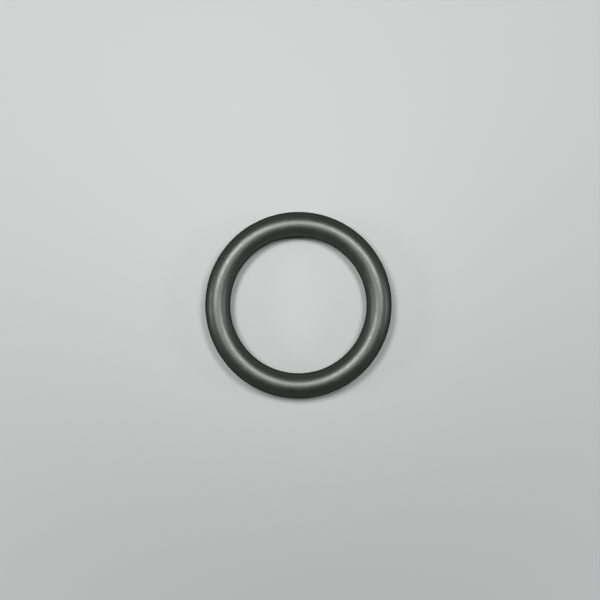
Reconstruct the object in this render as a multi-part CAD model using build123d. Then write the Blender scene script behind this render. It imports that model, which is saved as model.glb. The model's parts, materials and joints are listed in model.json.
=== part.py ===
from build123d import *
import math
import os

# A moulded rubber oil seal of the O-ring form: one closed ring of round section.
# Millimetres. +Z runs along the ring's axis. The origin is the centre of the ring,
# on the axis and halfway up the section, where the two halves of the mould meet.

# Driving dimensions: a standard size, named by its inside diameter and its section.
INSIDE_DIAMETER = 22.0
SECTION_DIAMETER = 4.0

# Where the mould's halves meet, the flash is trimmed down to a low rib round the inside
# and the outside of the ring. The rib's crest is cut straight, and its flanks slope.
RIB_CREST_HEIGHT = 0.12  # along the axis, across the crest
RIB_ROOT_HEIGHT = 0.22  # along the axis, where the flanks leave the round section
RIB_STAND = 0.03  # how far the crest stands out of the round section

# Worked out from the driving dimensions. The reaches are measured from the centre of the
# round section, along the ring's radius.
section_radius = SECTION_DIAMETER / 2
centre_radius = INSIDE_DIAMETER / 2 + section_radius
crest_half = RIB_CREST_HEIGHT / 2
root_half = RIB_ROOT_HEIGHT / 2
crest_reach = section_radius + RIB_STAND
root_reach = math.sqrt(section_radius**2 - root_half**2)


def crown(side):
    """The round surface above (side 1) or below (side -1) the parting line."""
    return ThreePointArc(
        (centre_radius - root_reach, side * root_half),
        (centre_radius, side * section_radius),
        (centre_radius + root_reach, side * root_half),
    )


def rib(side):
    """The trimmed flash on the outside (side 1) or the inside (side -1) of the ring."""
    root = centre_radius + side * root_reach
    crest = centre_radius + side * crest_reach
    return Polyline(
        (root, root_half),
        (crest, crest_half),
        (crest, -crest_half),
        (root, -root_half),
    )


def seal_ring():
    """The whole ring: its section turned once round the axis."""
    section = make_face([crown(1), rib(1), crown(-1), rib(-1)])
    return revolve(Plane.XZ * section, axis=Axis.Z)


os.makedirs("parts", exist_ok=True)
export_step(seal_ring(), "parts/seal_ring.step")
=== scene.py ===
import json
import math

import bpy
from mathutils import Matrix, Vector, noise


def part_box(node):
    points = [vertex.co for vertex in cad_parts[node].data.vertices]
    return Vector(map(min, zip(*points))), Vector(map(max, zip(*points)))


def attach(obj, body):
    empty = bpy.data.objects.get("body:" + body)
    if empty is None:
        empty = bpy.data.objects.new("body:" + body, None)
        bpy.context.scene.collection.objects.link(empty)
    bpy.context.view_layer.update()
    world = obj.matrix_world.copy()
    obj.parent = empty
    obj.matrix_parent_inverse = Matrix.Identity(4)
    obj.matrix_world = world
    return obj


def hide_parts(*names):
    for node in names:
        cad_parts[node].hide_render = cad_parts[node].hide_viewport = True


# A moulded rubber O-ring lying flat on a pale floor, under soft studio light.
# Metres, +Z up. The ring's axis is Z, and the origin is the centre of the ring.

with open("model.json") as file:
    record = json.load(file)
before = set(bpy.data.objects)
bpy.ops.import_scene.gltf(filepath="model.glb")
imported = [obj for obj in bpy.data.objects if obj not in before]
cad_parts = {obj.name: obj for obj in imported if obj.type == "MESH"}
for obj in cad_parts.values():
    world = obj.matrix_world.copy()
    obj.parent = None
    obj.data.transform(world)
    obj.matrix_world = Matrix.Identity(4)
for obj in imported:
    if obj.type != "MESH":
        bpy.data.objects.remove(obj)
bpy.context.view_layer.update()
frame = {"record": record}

MM = 0.001

# ---------------------------------------------------------------- sizes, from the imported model
mounts = {mount["name"]: mount for mount in frame["record"]["mounts"]}
RIB_INNER_RADIUS = mounts["inside"]["dims"]["r_mm"] * MM
RIB_OUTER_RADIUS = mounts["outside"]["dims"]["r_mm"] * MM
RING_LOW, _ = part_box("seal_ring")
CENTRE_RADIUS = (RIB_INNER_RADIUS + RIB_OUTER_RADIUS) / 2
SECTION_RADIUS = -RING_LOW[2]
RIB_STAND = (RIB_OUTER_RADIUS - RIB_INNER_RADIUS) / 2 - SECTION_RADIUS
FLOOR_Z = RING_LOW[2]

# ---------------------------------------------------------------- the ring's mesh
STEPS_ROUND_RING = 960
STEPS_PER_CROWN = 34  # along the round surface, above or below the parting line
STEPS_PER_RIB = 10  # across the trimmed flash, from root to root

# Half heights of the trimmed flash, above and below the parting line.
RIB_ROOT_HALF = 0.11 * MM
RIB_CREST_HALF = 0.06 * MM

# How uneven the moulding is. A rate is how often it varies in one turn of the ring.
SEED_STEP = 11.0  # keeps the outer and the inner flash from being alike
WANDER, WANDER_RATE, WANDER_SEED = 0.018 * MM, 22, 3
RAGGED, RAGGED_RATE, RAGGED_SEED = 0.20, 60, 5
NICK_RATE, NICK_SEED = 150, 7
NICK_STARTS, NICK_RISE, NICK_DEPTH = 0.34, 0.12, 0.6
SWELL, SWELL_RATE, SWELL_SEED = 0.004 * MM, 14, 1.0


def smooth(t):
    """Eases from 0 to 1 as t goes from 0 to 1."""
    t = min(max(t, 0.0), 1.0)
    return t * t * (3 - 2 * t)


def round_noise(turn, per_turn, seed):
    """Noise in -1 to 1 that closes on itself after one turn of the ring."""
    reach = per_turn / math.tau
    return noise.noise(Vector((reach * math.cos(turn), reach * math.sin(turn), seed)))


def section_angles():
    """Angles round the section, from the outer side: close together across the two ribs."""
    root = math.asin(RIB_ROOT_HALF / SECTION_RADIUS)
    rib = [root * (2 * i / STEPS_PER_RIB - 1) for i in range(STEPS_PER_RIB)]
    crown = [root + (math.pi - 2 * root) * i / STEPS_PER_CROWN for i in range(STEPS_PER_CROWN)]
    half = rib + crown
    return half + [angle + math.pi for angle in half]


def rib_height(turn, above, side):
    """How far the trimmed flash stands out, at a height above the parting line."""
    seed = SEED_STEP * side
    wander = WANDER * round_noise(turn, WANDER_RATE, seed + WANDER_SEED)
    # The trim leaves the crest a little lower in places, with a few short nicks.
    ragged = 1 - RAGGED + RAGGED * round_noise(turn, RAGGED_RATE, seed + RAGGED_SEED)
    nick = smooth((round_noise(turn, NICK_RATE, seed + NICK_SEED) - NICK_STARTS) / NICK_RISE)
    crest = RIB_STAND * ragged * (1 - NICK_DEPTH * nick)
    out = abs(above - wander)
    return crest * (1 - smooth((out - RIB_CREST_HALF) / (RIB_ROOT_HALF - RIB_CREST_HALF)))


def ring_mesh():
    """The ring as a closed mesh, with its parting line and the slight unevenness of rubber."""
    angles = section_angles()
    count = len(angles)
    points = []
    for step in range(STEPS_ROUND_RING):
        turn = math.tau * step / STEPS_ROUND_RING
        # The noise is at most 1, so the swell never leaves the CAD's section.
        swell = SWELL * (round_noise(turn, SWELL_RATE, SWELL_SEED) - 1)
        for angle in angles:
            above = SECTION_RADIUS * math.sin(angle)
            side = 1 if math.cos(angle) > 0 else -1
            radius = SECTION_RADIUS + swell
            if abs(above) < 2 * RIB_ROOT_HALF:
                radius += rib_height(turn, above, side)
            out = CENTRE_RADIUS + radius * math.cos(angle)
            up = radius * math.sin(angle)
            points.append((out * math.cos(turn), out * math.sin(turn), up))
    faces = []
    for step in range(STEPS_ROUND_RING):
        here = step * count
        there = (step + 1) % STEPS_ROUND_RING * count
        for i in range(count):
            j = (i + 1) % count
            faces.append((here + i, there + i, there + j, here + j))
    mesh = bpy.data.meshes.new("seal_ring_moulded")
    mesh.from_pydata(points, [], faces)
    mesh.shade_smooth()
    return mesh


# ---------------------------------------------------------------- materials
RUBBER_DARK = (0.017, 0.018, 0.0165, 1)
RUBBER_LIGHT = (0.034, 0.036, 0.033, 1)
RUBBER_INDEX = 2.0  # more than rubber's own, to make up for what the edge shade takes
RUBBER_SPECULAR = 0.95
EDGE_SHADE = (0.49, 0.503, 0.486, 1)

MOTTLE_SCALE = 1400
MOTTLE_DETAIL = 4
MOTTLE_LOW, MOTTLE_HIGH = 0.3, 0.7
ROUGHNESS_LOW, ROUGHNESS_HIGH = 0.38, 0.46

GRAIN_SCALE = 3200
GRAIN_DETAIL = 4
GRAIN_STRENGTH = 0.8
GRAIN_HEIGHT = 0.022 * MM


def new_material(name):
    """A node material, with its shader."""
    material = bpy.data.materials.new(name)
    material.use_nodes = True
    return material, material.node_tree.nodes, material.node_tree.links


def noise_texture(nodes, links, place, scale, detail):
    """Noise fixed to the object, scale being how often it varies in a metre."""
    texture = nodes.new("ShaderNodeTexNoise")
    texture.inputs["Scale"].default_value = scale
    texture.inputs["Detail"].default_value = detail
    links.new(place.outputs["Object"], texture.inputs["Vector"])
    return texture.outputs["Fac"]


def rubber():
    """Black nitrile rubber as it leaves the mould: satin, finely grained, faintly mottled."""
    material, nodes, links = new_material("rubber")
    shader = nodes["Principled BSDF"]
    shader.inputs["IOR"].default_value = RUBBER_INDEX
    shader.inputs["Specular IOR Level"].default_value = RUBBER_SPECULAR

    # Matte rubber goes dark towards its edges. A coat of index 1 mirrors nothing, and its tint
    # takes more the more slantwise it is seen.
    shader.inputs["Coat Weight"].default_value = 1.0
    shader.inputs["Coat IOR"].default_value = 1.0
    shader.inputs["Coat Roughness"].default_value = 1.0
    shader.inputs["Coat Tint"].default_value = EDGE_SHADE

    place = nodes.new("ShaderNodeTexCoord")

    # Mottle: patches under a millimetre across, a little lighter and a little duller.
    mottle = noise_texture(nodes, links, place, MOTTLE_SCALE, MOTTLE_DETAIL)
    colour = nodes.new("ShaderNodeMix")
    colour.data_type = "RGBA"
    colour.inputs["A"].default_value = RUBBER_DARK
    colour.inputs["B"].default_value = RUBBER_LIGHT
    links.new(mottle, colour.inputs["Factor"])
    links.new(colour.outputs["Result"], shader.inputs["Base Color"])

    dullness = nodes.new("ShaderNodeMapRange")
    dullness.inputs["From Min"].default_value = MOTTLE_LOW
    dullness.inputs["From Max"].default_value = MOTTLE_HIGH
    dullness.inputs["To Min"].default_value = ROUGHNESS_LOW
    dullness.inputs["To Max"].default_value = ROUGHNESS_HIGH
    links.new(mottle, dullness.inputs["Value"])
    links.new(dullness.outputs["Result"], shader.inputs["Roughness"])

    # Grain: the mould's finish, in the rubber's surface.
    grain = noise_texture(nodes, links, place, GRAIN_SCALE, GRAIN_DETAIL)
    bump = nodes.new("ShaderNodeBump")
    bump.inputs["Strength"].default_value = GRAIN_STRENGTH
    bump.inputs["Distance"].default_value = GRAIN_HEIGHT
    links.new(grain, bump.inputs["Height"])
    links.new(bump.outputs["Normal"], shader.inputs["Normal"])
    return material


FLOOR_GREY = (0.50, 0.51, 0.505, 1)
FLOOR_ROUGHNESS = 0.9
FLOOR_SPECULAR = 0.1
GLOW_STARTS = 0.02
GLOW_FULL = 0.15
GLOW_LEVEL = 0.85  # of the floor's own grey
GLOW_IN_REFLECTIONS = 0.35  # of what the camera sees


def floor_paint():
    """The plain pale grey of the floor and wall.

    The lamps stand close over the ring, as on a small product table, so little of their light
    reaches the far floor and the wall. There the camera and, more weakly, reflections see the
    same pale grey as a glow, which lights nothing. Round the ring there is none, so its
    shadow is a real one.
    """
    material, nodes, links = new_material("floor_paint")
    shader = nodes["Principled BSDF"]
    shader.inputs["Base Color"].default_value = FLOOR_GREY
    shader.inputs["Roughness"].default_value = FLOOR_ROUGHNESS
    shader.inputs["Specular IOR Level"].default_value = FLOOR_SPECULAR
    shader.inputs["Emission Color"].default_value = FLOOR_GREY

    place = nodes.new("ShaderNodeTexCoord")
    away = nodes.new("ShaderNodeVectorMath")
    away.operation = "LENGTH"
    links.new(place.outputs["Object"], away.inputs[0])
    fade = nodes.new("ShaderNodeMapRange")
    fade.interpolation_type = "SMOOTHSTEP"
    fade.inputs["From Min"].default_value = GLOW_STARTS
    fade.inputs["From Max"].default_value = GLOW_FULL
    fade.inputs["To Max"].default_value = GLOW_LEVEL
    links.new(away.outputs["Value"], fade.inputs["Value"])

    path = nodes.new("ShaderNodeLightPath")
    seen = nodes.new("ShaderNodeMath")
    seen.operation = "MULTIPLY_ADD"
    links.new(path.outputs["Is Glossy Ray"], seen.inputs[0])
    seen.inputs[1].default_value = GLOW_IN_REFLECTIONS
    links.new(path.outputs["Is Camera Ray"], seen.inputs[2])
    glow = nodes.new("ShaderNodeMath")
    glow.operation = "MULTIPLY"
    links.new(fade.outputs["Result"], glow.inputs[0])
    links.new(seen.outputs["Value"], glow.inputs[1])
    links.new(glow.outputs["Value"], shader.inputs["Emission Strength"])
    return material


# ---------------------------------------------------------------- pieces
def build_ring():
    """The rubber ring, in place of the CAD's."""
    ring = bpy.data.objects.new("rubber_ring", ring_mesh())
    bpy.context.collection.objects.link(ring)
    ring.data.materials.append(rubber())
    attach(ring, "root")
    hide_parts("seal_ring")


FLOOR_RADIUS = 0.9
WALL_HEIGHT = 0.7
COVE_RADIUS = 0.35
COVE_STEPS = 24
STAGE_STEPS = 128


def stage_outline():
    """Half of the stage's section, from the middle of the floor to the top of the wall."""
    outline = [(0.0, 0.0), (FLOOR_RADIUS - COVE_RADIUS, 0.0)]
    for i in range(1, COVE_STEPS + 1):
        lean = math.pi / 2 * i / COVE_STEPS
        out = FLOOR_RADIUS - COVE_RADIUS * (1 - math.sin(lean))
        up = COVE_RADIUS * (1 - math.cos(lean))
        outline.append((out, up))
    outline.append((FLOOR_RADIUS, WALL_HEIGHT))
    return outline


def build_stage():
    """A round floor that curves up into a wall, so that it is the same from every side."""
    outline = stage_outline()
    points = [(0.0, 0.0, FLOOR_Z)]
    for out, up in outline[1:]:
        for step in range(STAGE_STEPS):
            turn = math.tau * step / STAGE_STEPS
            points.append((out * math.cos(turn), out * math.sin(turn), FLOOR_Z + up))
    faces = [(0, 1 + i, 1 + (i + 1) % STAGE_STEPS) for i in range(STAGE_STEPS)]
    for row in range(len(outline) - 2):
        low = 1 + row * STAGE_STEPS
        high = low + STAGE_STEPS
        for i in range(STAGE_STEPS):
            j = (i + 1) % STAGE_STEPS
            faces.append((low + i, high + i, high + j, low + j))
    mesh = bpy.data.meshes.new("stage")
    mesh.from_pydata(points, [], faces)
    mesh.shade_smooth()
    stage = bpy.data.objects.new("stage", mesh)
    bpy.context.collection.objects.link(stage)
    stage.data.materials.append(floor_paint())


# ---------------------------------------------------------------- light and camera
WHITE = (1, 1, 1)
COOL = (0.94, 0.97, 1.0)
WORLD_STRENGTH = 0.03

# name, bearing anticlockwise from +X, lift above the floor (degrees), distance, width and
# height (metres), watts, colour. Two lamps behind the ring, close above it, make its highlight
# and its shadow. Two far ones at its sides lift the outer flanks.
LAMPS = [
    ("back_right", 38, 68, 0.115, 0.046, 0.026, 0.074, WHITE),
    ("back_left", 144, 67, 0.115, 0.046, 0.028, 0.090, WHITE),
    ("right", 0, 24, 0.45, 0.12, 0.09, 0.27, COOL),
    ("left", 180, 24, 0.45, 0.12, 0.09, 0.34, COOL),
]


def softbox(name, bearing, lift, distance, width, height, watts, colour):
    """A soft lamp aimed at the ring."""
    light = bpy.data.lights.new(name, "AREA")
    light.shape = "RECTANGLE"
    light.size = width
    light.size_y = height
    light.energy = watts
    light.color = colour
    lamp = bpy.data.objects.new(name, light)
    bpy.context.collection.objects.link(lamp)
    bearing = math.radians(bearing)
    lift = math.radians(lift)
    away = Vector(
        (
            math.cos(lift) * math.cos(bearing),
            math.cos(lift) * math.sin(bearing),
            math.sin(lift),
        )
    )
    lamp.location = away * distance
    lamp.rotation_euler = away.to_track_quat("Z", "Y").to_euler()
    lamp.visible_camera = False


def build_light():
    """The lamps, and a faint even fill."""
    for lamp in LAMPS:
        softbox(*lamp)
    world = bpy.data.worlds.new("studio")
    world.use_nodes = True
    background = world.node_tree.nodes["Background"]
    background.inputs["Color"].default_value = (*WHITE, 1)
    background.inputs["Strength"].default_value = WORLD_STRENGTH
    bpy.context.scene.world = world


CAMERA_HEIGHT = 93.5 * MM
CAMERA_RIGHT = 0.25 * MM
CAMERA_BACK = 0.83 * MM
LENS = 34.8
SENSOR = 36.0
NEAREST_SEEN = 1.0 * MM


def build_camera():
    """Looks straight down, from almost above the ring's centre."""
    data = bpy.data.cameras.new("camera")
    data.lens = LENS
    data.sensor_width = SENSOR
    data.clip_start = NEAREST_SEEN
    camera = bpy.data.objects.new("camera", data)
    bpy.context.collection.objects.link(camera)
    camera.location = (CAMERA_RIGHT, CAMERA_BACK, CAMERA_HEIGHT)
    bpy.context.scene.camera = camera


build_ring()
build_stage()
build_light()
build_camera()
bpy.context.scene.view_settings.view_transform = "Standard"
